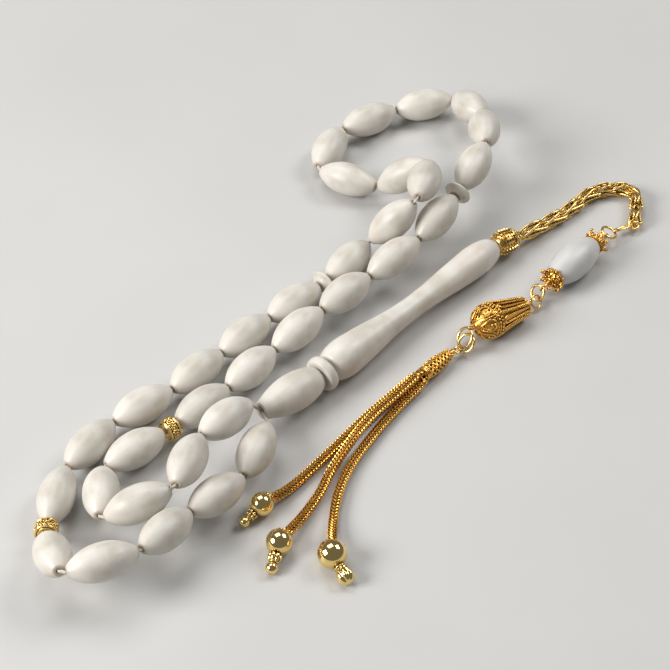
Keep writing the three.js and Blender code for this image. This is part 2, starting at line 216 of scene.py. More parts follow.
class Shape:
    """The vertices and faces of one mesh, gathered from closed shells."""

    def __init__(self):
        self.vertices = []
        self.faces = []

    def shell(self, rings, closed=False):
        """Joins rings of equal size, capped at both ends or closed into a loop."""
        first, count, size = len(self.vertices), len(rings), len(rings[0])
        for ring in rings:
            self.vertices.extend(ring)
        for i in range(count if closed else count - 1):
            a, b = first + i * size, first + (i + 1) % count * size
            self.faces.extend((a + k, a + (k + 1) % size, b + (k + 1) % size, b + k) for k in range(size))
        if not closed:
            self.faces.append(tuple(range(first, first + size)))
            self.faces.append(tuple(range(first + (count - 1) * size, first + count * size)))

    def turned(self, outline, matrix, sides, closed=False, ripple=None):
        """A turned shell from (radius, height) pairs; ripple(angle) scales the radius."""
        rings = []
        for radius, height in outline:
            ring = []
            for k in range(sides):
                angle = 2 * math.pi * k / sides
                r = radius * (ripple(angle) if ripple else 1.0)
                ring.append(matrix @ Vector((r * math.cos(angle), r * math.sin(angle), height)))
            rings.append(ring)
        self.shell(rings, closed)

    def wire(self, points, radius, sides=8, closed=False):
        """A round wire along points, with rounded ends where it is open."""
        frames = transported(points, closed)
        rings = [round_points(f, radius, sides) for f in frames]
        if not closed:
            for at, step in ((0, -1), (-1, 1)):
                for reach, share in WIRE_ENDS:
                    end = frames[at] @ Matrix.Translation((0, 0, step * reach * radius))
                    rings.insert(0 if at == 0 else len(rings), round_points(end, share * radius, sides))
        self.shell(rings, closed)

    def ring(self, matrix, major, minor, sides=8, steps=36, stretch=1.0):
        """A wire ring about a matrix's Z axis, longer along X by the stretch."""
        points = []
        for k in range(steps):
            angle = 2 * math.pi * k / steps
            points.append(matrix @ Vector((stretch * major * math.cos(angle), major * math.sin(angle), 0.0)))
        self.wire(points, minor, sides, closed=True)

    def hoop(self, height, major, minor, sides=8, steps=36):
        """A level ring about the Z axis, with its height and radii in millimetres."""
        self.ring(Matrix.Translation((0, 0, height * MM)), major * MM, minor * MM, sides, steps)

    def rope(self, points, radius, twist, closed=False):
        """Two wires twisted round a line: radius is the rope's own, twist its turns in all."""
        frames = transported(points, closed)
        count = len(frames)
        for start in (0.0, 0.5):
            strand = []
            for i, f in enumerate(frames):
                angle = 2 * math.pi * (start + twist * i / (count if closed else count - 1))
                strand.append(f @ (Vector((math.cos(angle), math.sin(angle), 0.0)) * radius * 0.5))
            self.wire(strand, radius * 0.52, 6, closed)

    def granule(self, centre, radius, stretch=1.0, along=(0, 0, 1), sides=10):
        """A small ball, or an egg longer along a direction."""
        outline = []
        for k in range(1, GRANULE_STEPS):
            angle = math.pi * k / GRANULE_STEPS
            outline.append((radius * math.sin(angle), -radius * stretch * math.cos(angle)))
        self.turned(outline, axis_frame(centre, along), sides)

    def granule_ring(self, count, major, height, radius, turn=0.0):
        """Granules evenly round the Z axis, with the sizes in millimetres and the turn in steps."""
        for k in range(count):
            angle = 2 * math.pi * (k + turn) / count
            centre = Vector((major * MM * math.cos(angle), major * MM * math.sin(angle), height * MM))
            self.granule(centre, radius * MM)

    def stud(self, matrix):
        """A stud one unit each way, standing on a matrix's XY plane, with a smaller top."""
        rings = []
        for half, z in ((0.5, -0.5), (0.5, 0.3), (0.28, 1.0)):
            corners = ((-half, -half), (half, -half), (half, half), (-half, half))
            rings.append([matrix @ Vector((x, y, z)) for x, y in corners])
        self.shell(rings)


def piece(name, shape, material, body, replaces, matrix=None, sharp=50, shade=0.5, wear=None):
    """Makes one named piece from a shape; wear(vertex) gives how stained each point is."""
    mesh = bpy.data.meshes.new(name)
    mesh.from_pydata([tuple(v) for v in shape.vertices], [], shape.faces)
    work = bmesh.new()
    work.from_mesh(mesh)
    bmesh.ops.recalc_face_normals(work, faces=work.faces)
    work.to_mesh(mesh)
    work.free()
    mesh.shade_smooth()
    mesh.set_sharp_from_angle(angle=math.radians(sharp))
    tint = mesh.attributes.new("shade", "FLOAT", "POINT")
    tint.data.foreach_set("value", [shade] * len(mesh.vertices))
    stain = mesh.attributes.new("stain", "FLOAT", "POINT")
    stain.data.foreach_set("value", [wear(v.co) if wear else 0.0 for v in mesh.vertices])
    mesh.materials.append(material)
    made = bpy.data.objects.new(name, mesh)
    bpy.context.scene.collection.objects.link(made)
    if matrix is not None:
        made.matrix_world = matrix
    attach(made, body)
    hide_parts(*replaces)
    return made


# ---- camera ----
CAMERA_AT = place(0.0, -260.0, 269.0)
CAMERA_TARGET = place(0.0, 0.0, 0.0)
CAMERA_LENS = 103.76
CAMERA_SENSOR = 36.0


def make_camera():
    """Looks down at 46 degrees along +Y, as the string was seen."""
    data = bpy.data.cameras.new("camera")
    data.sensor_width = CAMERA_SENSOR
    data.lens = CAMERA_LENS
    camera = bpy.data.objects.new("camera", data)
    bpy.context.scene.collection.objects.link(camera)
    camera.location = CAMERA_AT
    camera.rotation_mode = "QUATERNION"
    camera.rotation_quaternion = (CAMERA_TARGET - camera.location).to_track_quat("-Z", "Y")
    bpy.context.scene.camera = camera


# ---- materials ----
class Nodes:
    """A material's node tree, with short ways to add and join nodes."""

    def __init__(self, name):
        self.material = bpy.data.materials.new(name)
        self.material.use_nodes = True
        self.tree = self.material.node_tree
        self.shader = self.tree.nodes["Principled BSDF"]
        self.object = self.add("ShaderNodeTexCoord").outputs["Object"]

    def add(self, kind, inputs=None, **settings):
        node = self.tree.nodes.new(kind)
        for key, value in settings.items():
            setattr(node, key, value)
        for key, value in (inputs or {}).items():
            self.put(node.inputs[key], value)
        return node

    def put(self, socket, value):
        if isinstance(value, bpy.types.NodeSocket):
            self.tree.links.new(value, socket)
        else:
            socket.default_value = value

    def attribute(self, name):
        return self.add("ShaderNodeAttribute", attribute_name=name).outputs["Fac"]

    def stretched(self, x, y, z):
        """The piece's own coordinates, scaled along each axis."""
        return self.add("ShaderNodeMapping", {"Vector": self.object, "Scale": (x, y, z)}).outputs["Vector"]

    def noise(self, scale, detail=3.0, roughness=0.5, vector=None):
        inputs = {"Scale": scale, "Detail": detail, "Roughness": roughness, "Vector": vector or self.object}
        return self.add("ShaderNodeTexNoise", inputs).outputs["Fac"]

    def ramp(self, factor, stops):
        node = self.add("ShaderNodeValToRGB", {"Fac": factor})
        elements = node.color_ramp.elements
        while len(elements) < len(stops):
            elements.new(0.5)
        for element, (position, colour) in zip(elements, stops):
            element.position = position
            element.color = (*colour, 1.0)
        return node.outputs["Color"]

    def span(self, factor, low, high, start=0.0, end=1.0):
        """Maps a value from start..end to low..high."""
        inputs = {"Value": factor, "From Min": start, "From Max": end, "To Min": low, "To Max": high}
        return self.add("ShaderNodeMapRange", inputs).outputs["Result"]

    def blended(self, factor, a, b, mode="MIX"):
        """Colour a turned into colour b by a factor; each is a socket or three numbers."""
        node = self.add("ShaderNodeMix", data_type="RGBA", blend_type=mode)
        self.put(node.inputs["Factor"], factor)
        for name, value in (("A_Color", a), ("B_Color", b)):
            socket = next(i for i in node.inputs if i.identifier == name)
            self.put(socket, value if isinstance(value, bpy.types.NodeSocket) else (*value, 1.0))
        return next(o for o in node.outputs if o.identifier == "Result_Color")

    def bump(self, height, strength, distance, normal=None):
        inputs = {"Height": height, "Strength": strength, "Distance": distance}
        if normal:
            inputs["Normal"] = normal
        return self.add("ShaderNodeBump", inputs).outputs["Normal"]

    def finish(self, **values):
        for name, value in values.items():
            self.put(self.shader.inputs[name.replace("_", " ")], value)
        return self.material


IVORY_TONES = [
    (0.34, (0.60, 0.56, 0.49)), (0.50, (0.69, 0.665, 0.61)), (0.68, (0.75, 0.74, 0.70)),
]
PEARL_TONES = [
    (0.30, (0.54, 0.54, 0.53)), (0.50, (0.59, 0.595, 0.59)), (0.72, (0.64, 0.65, 0.65)),
]
IVORY_STAIN = (0.34, 0.27, 0.19)
POLISHED = ((0.05, 0.13), 0.015)  # range of roughness, and strength of the casting grain
BRUSHED = ((0.16, 0.30), 0.08)
ROUGH_CAST = ((0.20, 0.34), 0.12)


def ivory(name, tones):
    """Satin bone-like resin: cloudy cream, faint grain along the piece, darker round the drill holes."""
    n = Nodes(name)
    cloud = n.ramp(n.noise(170.0, 3.0, 0.55), tones)
    pink = n.blended(n.span(n.noise(90.0, 1.0), 0.0, 0.5, 0.45, 0.75), cloud, (0.72, 0.62, 0.54))
    grain = n.noise(900.0, 4.0, 0.6, n.stretched(1.0, 1.0, 0.07))
    grained = n.blended(n.span(grain, 0.0, 0.22, 0.45, 0.8), pink, (0.50, 0.44, 0.36))
    toned = n.blended(n.span(n.attribute("shade"), 0.0, 0.28), grained, (0.52, 0.50, 0.45), "MULTIPLY")
    stained = n.blended(n.attribute("stain"), toned, IVORY_STAIN)
    fine = n.bump(n.noise(5200.0, 2.0), 0.05, 0.00003)
    turning = n.add("ShaderNodeTexWave", {
        "Vector": n.object, "Scale": 520.0, "Distortion": 1.5, "Detail": 1.0, "Detail Scale": 2.0,
    }, bands_direction="Z").outputs["Fac"]
    return n.finish(
        Base_Color=stained, Roughness=n.span(n.noise(260.0, 4.0), 0.36, 0.52),
        Normal=n.bump(turning, 0.035, 0.00003, fine), IOR=1.54, Coat_Weight=0.08, Coat_Roughness=0.22,
        Subsurface_Weight=0.22, Subsurface_Radius=(1.0, 0.72, 0.48), Subsurface_Scale=0.0011,
    )


def gold(name, colour, deep, surface):
    """Gold alloy: uneven in tone, with painted shade and tarnish in its recesses (darker and browner where
    ambient occlusion finds them), and fine casting grain.
    """
    roughness, grain = surface
    n = Nodes(name)
    # ambient occlusion as a mask: painted shade darkens and browns the recesses, standing in also for
    # tarnish
    occlusion = n.add("ShaderNodeAmbientOcclusion", {"Distance": 0.9 * MM}, samples=4, only_local=True)
    recess_shade_and_tarnish = n.span(occlusion.outputs["AO"], 1.0, 0.0, 0.25, 0.85)
    duller = [0.86 * c for c in colour]
    toned = n.blended(n.span(n.noise(420.0), 0.0, 0.35, 0.4, 0.75), colour, duller)
    browned = n.blended(recess_shade_and_tarnish, toned, deep)
    return n.finish(
        Base_Color=browned, Metallic=1.0, Roughness=n.span(n.noise(1500.0), *roughness),
        Normal=n.bump(n.noise(6500.0), grain, 0.04 * MM),
    )


def cord_material():
    """Undyed twisted thread with a soft fuzz."""
    n = Nodes("thread")
    fibres = n.noise(7000.0, 4.0, 0.6, n.stretched(1.0, 1.0, 0.5))
    colour = n.ramp(fibres, [(0.3, (0.42, 0.37, 0.29)), (0.7, (0.74, 0.69, 0.58))])
    return n.finish(
        Base_Color=colour, Roughness=0.85, Normal=n.bump(fibres, 0.4, 0.00006),
        Sheen_Weight=0.3, Sheen_Roughness=0.5,
    )


def floor_material():
    """A plain pale tabletop with a barely uneven finish."""
    n = Nodes("tabletop")
    tone = n.ramp(n.noise(18.0, 3.0), [(0.3, (0.53, 0.528, 0.52)), (0.7, (0.56, 0.558, 0.55))])
    return n.finish(Base_Color=tone, Roughness=0.55, Normal=n.bump(n.noise(900.0, 2.0), 0.03, 0.0001))


IVORY = ivory("ivory", IVORY_TONES)
PEARL = ivory("pearl", PEARL_TONES)
# each gold's second colour is the dark brown of the painted shade and tarnish in its recesses
GOLD = gold("gold", (0.93, 0.66, 0.24), (0.26, 0.13, 0.03), BRUSHED)
DEEP_GOLD = gold("deep_gold", (0.95, 0.53, 0.12), (0.24, 0.10, 0.02), ROUGH_CAST)
BALL_GOLD = gold("ball_gold", (0.90, 0.68, 0.28), (0.30, 0.17, 0.05), POLISHED)
CORD = cord_material()


# ---- strands ----
LOOP_PITCH = 0.72 * MM
LOOP_WIRE = 0.19 * MM
LOOP_RADIUS = 0.73 * MM
LOOP_SLANT = 0.34 * MM
LOOP_POINTS = 32
STRAND_CORE = 0.58 * MM
ROUTE_STEPS = 12


def foxtail_loop(matrix):
    """One link of a square loop-in-loop chain: a wire round the strand, bent to a V on each side."""
    points = []
    for k in range(LOOP_POINTS):
        angle = 2 * math.pi * k / LOOP_POINTS
        corner = abs((4 * angle / (2 * math.pi) + 0.5) % 1.0 - 0.5) * 2  # 0 at a corner, 1 mid-side
        radius = LOOP_RADIUS * (1.0 + 0.1 * math.cos(4 * angle))
        points.append(matrix @ Vector((
            radius * math.cos(angle), radius * math.sin(angle), LOOP_SLANT * (2 * corner - 1.0))))
    return points


def weave_foxtail(shape, route):
    """A core and the stack of links round it, along a route; returns its middle line."""
    count = max(round((length_of(route) - 2 * LOOP_SLANT) / LOOP_PITCH), 1)
    line = evenly(route, 2 * count)
    shape.wire(line, STRAND_CORE, 12)
    for f in transported(line)[1::2]:
        shape.wire(foxtail_loop(f @ Matrix.Rotation(math.pi / 4, 4, "Z")), LOOP_WIRE, 6, closed=True)
    return line


def make_foxtail(index, strand):
    """The strand's piece, its middle line and its length."""
    body, node = f"strand_{index}", f"foxtail_{index}"
    route = curve_through(strand["route"], ROUTE_STEPS)
    shape = Shape()
    line = weave_foxtail(shape, route)
    made = piece(f"foxtail_strand_{index}", shape, DEEP_GOLD, body, (node,))
    return made, line, length_of(route)


def tip_stem(shape, radius, knee, end):
    """The turned neck between a ball and the last bead of its tip; knee and end are heights."""
    outline = [(0.75 * MM, radius * 0.9), (0.6 * MM, knee), (0.5 * MM, end)]
    shape.turned(outline, Matrix.Identity(4), 20)


def beaded_tip(shape, radius, reach):
    """Two rows of granules round a neck, and a small ball."""
    end = reach - 0.95 * MM
    shape.granule_ring(8, 0.82, radius / MM + 0.2, 0.36)
    tip_stem(shape, radius, radius + 0.6 * MM, end)
    shape.granule_ring(6, 0.62, radius / MM + 0.82, 0.36, 0.5)
    shape.granule(Vector((0, 0, end)), 1.0 * MM, sides=32)


def seeded_tip(shape, radius, reach):
    """Long grains standing round a neck, a ring, and a small ball."""
    end = reach - 1.1 * MM
    count = 7
    for k in range(count):
        angle = 2 * math.pi * k / count
        side = Vector((math.cos(angle), math.sin(angle), 0.0))
        middle = side * 0.85 * MM + Vector((0, 0, radius + 0.75 * MM))
        shape.granule(middle, 0.45 * MM, 2.0, Vector((0, 0, 1)) - side * 0.18)
    tip_stem(shape, radius, radius + 1.0 * MM, end)
    shape.hoop(radius / MM + 1.6, 0.72, 0.18)
    shape.granule(Vector((0, 0, end)), 1.15 * MM, sides=32)


FLUTED_TIP = [(1.0, 0.0), (1.15, 0.5), (1.5, 1.3), (1.55, 2.0), (1.25, 2.7), (0.7, 3.1), (0.1, 3.2)]


def fluted_tip(shape, radius, reach):
    """A bud with seven lobes, and a ring where it meets the ball."""
    lobes = 7
    span = (reach - radius - 0.1 * MM) / (FLUTED_TIP[-1][1] * MM)
    bud = [(r * MM, radius + h * MM * span) for r, h in FLUTED_TIP]
    smooth = curve_through([Vector((r, h, 0)) for r, h in [(0.8 * MM, radius * 0.9), *bud]], 4)
    shape.turned([(p.x, p.y) for p in smooth], Matrix.Identity(4), 56,
                 ripple=lambda angle: 1.0 - 0.16 * abs(math.sin(lobes * angle / 2)) ** 3)
    shape.hoop(radius / MM + 0.25, 1.02, 0.2)


BALL_TIPS = (beaded_tip, seeded_tip, fluted_tip)
BALL_STEPS = 40


def make_ball(index, strand):
    body, radius = f"strand_{index}", strand["radius"]
    matrix = axis_frame(strand["ball"], strand["tip"] - strand["ball"])
    reach = (strand["tip"] - strand["ball"]).length
    shape = Shape()
    outline = []
    for k in range(1, BALL_STEPS):
        angle = math.pi * k / BALL_STEPS
        outline.append((radius * math.sin(angle), -radius * math.cos(angle)))
    shape.turned(outline, Matrix.Identity(4), 72)
    shape.hoop(-0.9 * radius / MM, 0.96, 0.15, 10, 48)
    BALL_TIPS[index - 1](shape, radius, reach)
    node = f"ball_{index}"
    return piece(f"tassel_ball_{index}", shape, BALL_GOLD, body, (node,), matrix, 60)


def make_strands():
    for index, strand in enumerate(STRANDS, 1):
        foxtail, line, length = make_foxtail(index, strand)
        ball = make_ball(index, strand)
        tuple(line[0])
        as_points(line)


# ---- the string ----
def spun(node):
    """The frame of a piece that turns on the cord: Z along its bore."""
    joint = JOINTS[node + "_spin"]
    return axis_frame(Vector(joint["pos_m"]), joint["axis"])


def drilled(outline, bore):
    """Closes an outline of (radius, height) pairs round a bore, with eased lips."""
    lip, steps = 0.1 * MM, 8
    low, high = outline[0][1], outline[-1][1]
    wall = [(bore, high - lip - (high - low - 2 * lip) * k / steps) for k in range(steps + 1)]
    return [*outline, (bore + lip, high), *wall, (bore + lip, low)]


def barley(length, radius, tip, power, steps=44):
    """A barley bead's outline, closer stepped towards its tips."""
    outline = []
    for k in range(steps + 1):
        u = math.sin(math.pi * (k / steps - 0.5))
        outline.append((radius * (1 - (1 - tip) * abs(u) ** power), u * length / 2))
    eased = 0.08 * MM
    first, last = outline[0], outline[-1]
    return [(first[0] - eased, first[1]), (first[0], first[1] + eased * 0.6), *outline[2:-2],
            (last[0], last[1] - eased * 0.6), (last[0] - eased, last[1])]


def smoothed(outline, steps=5):
    """A smooth outline in metres through (radius, height) pairs in millimetres."""
    line = curve_through([Vector((r, z, 0)) * MM for r, z in outline], steps)
    return [(p.x, p.y) for p in line]


def tip_stain(length, reach=0.55 * MM):
    """Dark where the drill broke through at both ends and inside the bore."""
    def wear(v):
        from_tip = length / 2 - abs(v.z)
        inside = math.hypot(v.x, v.y) < BEAD_BORE * 1.08
        return 0.8 if inside else 0.5 * max(0.0, 1.0 - from_tip / reach) ** 2
    return wear


def make_bead(node):
    shape = Shape()
    outline = barley(BEAD_LENGTH, BEAD_RADIUS, BEAD_TIP, BEAD_POWER)
    shape.turned(drilled(outline, BEAD_BORE), Matrix.Identity(4), 64, closed=True)
    piece("barley_" + node, shape, IVORY, node, (node,), spun(node), 45, DRAW.random(),
          tip_stain(BEAD_LENGTH))


MARKER_OUTLINE = [
    (0.9, -1.1), (1.25, -1.08), (1.5, -0.82), (2.0, -0.46), (2.5, -0.3), (2.68, -0.2), (2.75, 0.0),
    (2.68, 0.2), (2.5, 0.3), (2.0, 0.46), (1.5, 0.82), (1.25, 1.08), (0.9, 1.1),
]
COLLAR_OUTLINE = [
    (1.6, -0.88), (2.4, -0.98), (2.95, -1.0), (3.3, -0.86), (3.5, -0.5), (3.55, 0.0),
    (3.5, 0.5), (3.3, 0.86), (2.95, 1.0), (2.4, 0.98), (1.6, 0.88),
]
COLLECTOR_OUTLINE = [(1.65, 0), (2.2, 0.1), (3.05, 0.28), (3.6, 0.5), (3.5, 0.72), (2.95, 0.9), (2.3, 1)]
IMAME_OUTLINE = [
    (2.1, 0), (2.75, 0.35), (3.2, 1.0), (3.62, 2.4), (3.8, 4.4), (3.5, 8.5), (2.85, 14), (2.35, 19),
    (2.2, 24), (2.4, 29), (2.8, 34), (3.1, 38.5), (3.2, 41.5), (2.95, 44.2), (2.35, 46.2),
    (1.6, 47.2), (1.35, 47.3),
]
SPACER_OUTLINE = [
    (1.2, -1.1), (1.35, -0.9), (1.42, -0.4), (1.42, 0.0), (1.42, 0.4), (1.35, 0.9), (1.2, 1.1),
]
SPACER_RINGS = 8


def make_turned_ivory(node, name, outline, bore, stain=None, sides=72):
    shape = Shape()
    shape.turned(drilled(outline, bore), Matrix.Identity(4), sides, closed=True)
    piece(name, shape, IVORY, node, (node,), spun(node), 45, DRAW.random() * 0.6, stain)


def make_spacer(node):
    """A short gold bead: two wire rims at each end of a band of little rings and granules."""
    shape = Shape()
    shape.turned(drilled(smoothed(SPACER_OUTLINE), BEAD_BORE), Matrix.Identity(4), 40, closed=True)
    for side in (-1, 1):
        shape.hoop(side * 0.98, 1.9, 0.24, 10, 56)
        shape.hoop(side * 1.02, 1.4, 0.22, 8, 40)
    step = 2 * math.pi / SPACER_RINGS
    for k in range(SPACER_RINGS):
        outward = Matrix.Rotation(k * step, 4, "Z") @ Matrix.Translation((1.88 * MM, 0, 0))
        shape.ring(outward @ Matrix.Rotation(math.pi / 2, 4, "Y"), 0.5 * MM, 0.16 * MM, 8, 20)
        shape.granule(outward @ Vector((0.02 * MM, 0, 0)), 0.24 * MM)
        between = Matrix.Rotation((k + 0.5) * step, 4, "Z")
        shape.wire([between @ Vector((r * MM, 0, 0)) for r in (1.3, 1.6, 1.85)], 0.16 * MM, 8)
        for side in (-1, 1):
            shape.granule(between @ Vector((1.95 * MM, 0, side * 0.5 * MM)), 0.27 * MM, sides=8)
    piece("filigree_" + node, shape, GOLD, node, (node,), spun(node), 50)


def string_nodes():
    """The names of the pieces on the string, in stringing order."""
    counts, names = {}, []
    for repeat, kind in PATTERN:
        for _ in range(repeat):
            counts[kind] = counts.get(kind, 0) + 1
            names.append(f"bead_{counts[kind]:02d}" if kind == "bead" else f"{kind}_{counts[kind]}")
    return names


def end_points(node):
    """Both ends of a bead, disc or spacer, in stringing order."""
    lengths = {"bead": BEAD_LENGTH, "gold_spacer": SPACER_LENGTH, "marker_disc": MARKER_LENGTH}
    length = lengths[node.rsplit("_", 1)[0]]
    matrix = spun(node)
    return matrix @ Vector((0, 0, -length / 2)), matrix @ Vector((0, 0, length / 2))


CORD_STEPS = 1900
CORD_PLIES = 3
CORD_SIDES = 12
CORD_TWIST = 0.42  # radians from one step to the next
CORD_IN_CAP = 1.6 * MM  # how far the thread's ends reach into the cap


def make_cord(nodes):
    """The string itself: one twisted thread from the cap through everything and back."""
    stops = []
    for side in (-1, 1):
        lead = []
        for start, end in (IMAME, COLLECTOR):
            along = (end - start).normalized()
            aside = Vector((-along.y, along.x, 0.0)).normalized() * side * STRAND_OFFSET
            lead += [end + aside, start + aside]
        lead.insert(0, lead[0] + (CAP[1] - CAP[0]).normalized() * CORD_IN_CAP)
        stops.append(lead)
    middle = [p for node in nodes for p in end_points(node)]
    line = evenly([*stops[0], *middle, *reversed(stops[1])], CORD_STEPS)
    shape = Shape()
    rings = []
    for i, f in enumerate(transported(line)):
        ring = []
        for k in range(CORD_SIDES):
            angle = 2 * math.pi * k / CORD_SIDES
            radius = CORD_RADIUS * (0.92 + 0.11 * math.cos(CORD_PLIES * angle))
            turned = angle + CORD_TWIST * i
            ring.append(f @ Vector((radius * math.cos(turned), radius * math.sin(turned), 0.0)))
        rings.append(ring)
    shape.shell(rings)
    piece("twisted_cord", shape, CORD, "string", ("cord",))


def make_string():
    nodes = string_nodes()
    for node in nodes:
        if node.startswith("bead"):
            make_bead(node)
        elif node.startswith("marker"):
            stain = tip_stain(MARKER_LENGTH, 0.2 * MM)
            make_turned_ivory(node, "saucer_" + node, smoothed(MARKER_OUTLINE), BEAD_BORE, stain)
        else:
            make_spacer(node)
    make_cord(nodes)
    length = (COLLECTOR[1] - COLLECTOR[0]).length / MM
    outline = [(r, share * length) for r, share in COLLECTOR_OUTLINE]
    make_turned_ivory("collector_bead", "gathering_bead", smoothed(outline, 7), HEAD_BORE)
    make_turned_ivory("collar_disc", "collar_ring", smoothed(COLLAR_OUTLINE, 4), HEAD_BORE)
    make_turned_ivory("imame", "turned_imame", smoothed(IMAME_OUTLINE, 7), HEAD_BORE, sides=96)


# ---- cap and chain ----
def on_surface(outline, height, angle):
    """A frame standing on a turned outline: X round it, Z out of it."""
    for (r0, z0), (r1, z1) in zip(outline, outline[1:]):
        if z0 <= height <= z1 and z1 > z0:
            share = (height - z0) / (z1 - z0)
            radius = r0 + (r1 - r0) * share
            slope = Vector((z1 - z0, 0.0, -(r1 - r0))).normalized()
            break
    out = Matrix.Rotation(angle, 3, "Z") @ slope
    across = Matrix.Rotation(angle, 3, "Z") @ Vector((0.0, 1.0, 0.0))
    matrix = Matrix((across, out.cross(across), out)).transposed().to_4x4()
    matrix.translation = Vector((radius * math.cos(angle), radius * math.sin(angle), height))
    return matrix, radius


CAP_DOME = [
    (1.1, -0.52), (1.5, -0.38), (1.82, -0.02), (2.06, 0.5), (2.2, 1.2), (2.22, 1.9), (2.12, 2.8),
    (1.92, 3.6), (1.78, 4.0),
]
CAP_CLOSE = [(1.78, 4.0), (1.5, 4.35), (1.0, 4.7), (0.6, 4.8), (0.05, 4.82)]
CAP_INSIDE = [(0.05, 4.1), (0.95, 3.7), (1.0, 2.8), (1.0, -0.5)]
CAP_STUD_ROWS = (0.10, 0.76, 1.42, 2.08, 2.72, 3.28)
CAP_STUD_COLUMNS = 16
CAP_STUD = (0.66, 0.45 * MM, 0.36 * MM)  # its width as a share of a column's, its length and its height
CAP_RINGS = ((3.68, 1.96, 0.24), (4.38, 1.62, 0.26), (4.82, 1.2, 0.24))


def make_cap():
    """An acorn cap: rows of square studs, a wire-bound rim, and an eye for the chain."""
    matrix = axis_frame(CAP[0], CAP[1] - CAP[0])
    shape = Shape()
    dome = smoothed(CAP_DOME, 6)
    inside = [(radius * MM, height * MM) for radius, height in CAP_INSIDE]
    outline = [*dome, *smoothed(CAP_CLOSE, 3)[1:], *inside]
    shape.turned(outline, Matrix.Identity(4), 56, closed=True)
    for height in CAP_STUD_ROWS:
        for k in range(CAP_STUD_COLUMNS):
            stand, radius = on_surface(dome, height * MM, 2 * math.pi * k / CAP_STUD_COLUMNS)
            width = 2 * math.pi * radius / CAP_STUD_COLUMNS
            shape.stud(stand @ Matrix.Diagonal((CAP_STUD[0] * width, *CAP_STUD[1:], 1.0)))
    for height, major, minor in CAP_RINGS:
        shape.hoop(height, major, minor, 10, 60)
    rope = round_points(Matrix.Translation((0, 0, 4.04 * MM)), 1.92 * MM, 160)
    shape.rope(rope, 0.26 * MM, 16, closed=True)
    eye = Matrix.Translation((0, 0, 5.7 * MM)) @ Matrix.Rotation(math.pi / 2, 4, "X")
    shape.ring(eye, 0.82 * MM, 0.24 * MM, 10, 36)
    piece("acorn_cap", shape, GOLD, "string", ("imame_cap",), matrix, 30)


CHAIN_WIRE = 0.25 * MM
CHAIN_CORE = 0.55 * MM
CHAIN_SECTIONS = (2, 2, 2, 2)  # pairs of links along each of the chain's bodies
CHAIN_STEPS = 30  # points of the chain's line along each of its bodies
HOOK = 0.5 * MM  # how far a link's narrow loops reach back round the fold before them
LINK_PAIR = ((0, 0.0, 0.0), (1, 0.85 * MM, 0.38))  # (quarter turns, shift, swell) of each link of a pair
LEG_STEPS = 10


def folded_link(length, quarter, shift, swell):
    """A long wire loop folded in two: narrow loops at z = 0, and a wide fold at the far end."""
    points = []
    top = length - 0.45 * MM - shift
    for side in (1, -1):
        legs = []
        for k in range(LEG_STEPS + 1):
            t = 1 - k / LEG_STEPS  # 0 at the narrow loop, 1 at the fold
            puff = 1 + swell * math.sin(math.pi * t)
            height = (0.3 + 1.0 * t ** 0.85) * puff * MM
            width = (0.75 - 0.47 * t) * puff * MM
            legs.append(Vector((side * height, width, top * t - shift * (1 - t))))
        loop = []
        for k in range(1, 6):
            phi = math.pi * k / 6
            loop.append(Vector((side * 0.3 * MM, 0.75 * MM * math.cos(phi), -shift - HOOK * math.sin(phi))))
        back = [Vector((p.x, -p.y, p.z)) for p in reversed(legs)]
        half = [*legs, *loop, *back]
        if side < 0:
            half = [Vector((p.x, -p.y, p.z)) for p in half]
        points.extend(half)
        edge = half[-1]
        for k in range(1, 8):
            psi = math.pi * k / 8
            reach = math.copysign(abs(math.cos(psi)) ** 0.6, math.cos(psi))
            points.append(Vector((edge.x * reach, edge.y, edge.z + 0.42 * MM * math.sin(psi) ** 0.7)))
    return [Matrix.Rotation(quarter * math.pi / 2, 3, "Z") @ p for p in points]


def make_chain():
    """Long folded loops, two to a section and crossed, each pair hooked round the folds before it."""
    line = curve_through(CHAIN_JOINTS, CHAIN_STEPS)
    frames = transported(line)
    starts = [length_of(line[:i + 1]) for i in range(len(line))]

    def carried(start, p):
        """Moves a point of a straight link onto the chain's line."""
        along = min(max(start + p.z, 0.0), starts[-1])
        i = max(k for k, s in enumerate(starts) if s <= along + 1e-9)
        f = frames[i]
        return f @ Vector((p.x, p.y, start + p.z - starts[i]))

    for body, count in enumerate(CHAIN_SECTIONS):
        shape = Shape()
        first, last = starts[body * CHAIN_STEPS], starts[(body + 1) * CHAIN_STEPS]
        length = (last - first) / count
        for k in range(count):
            start = first + k * length
            for quarter, shift, swell in LINK_PAIR:
                link = [carried(start, p) for p in folded_link(length, quarter, shift, swell)]
                shape.wire(link, CHAIN_WIRE, 8, closed=True)
            inner = [carried(start, Vector((0, 0, length * (0.16 + 0.76 * s / 10)))) for s in range(11)]
            shape.wire(inner, CHAIN_CORE, 12)
        node = f"chain_{body + 1}"
        piece("woven_" + node, shape, GOLD, node, (node,))


def facing(along, side):
    """The direction nearest to a side that is square to this line."""
    along, side = along.normalized(), Vector(side)
    return side - along * along.dot(side)


def flat_link(shape, start, end, half_width, minor, tilt):
    """An oval link between two points, turned about its own length by the tilt."""
    matrix = axis_frame((start + end) / 2, end - start, tilt) @ Matrix.Rotation(math.pi / 2, 4, "Y")
    half = (end - start).length / 2
    shape.ring(matrix, half_width, minor, 8, 44, half / half_width)


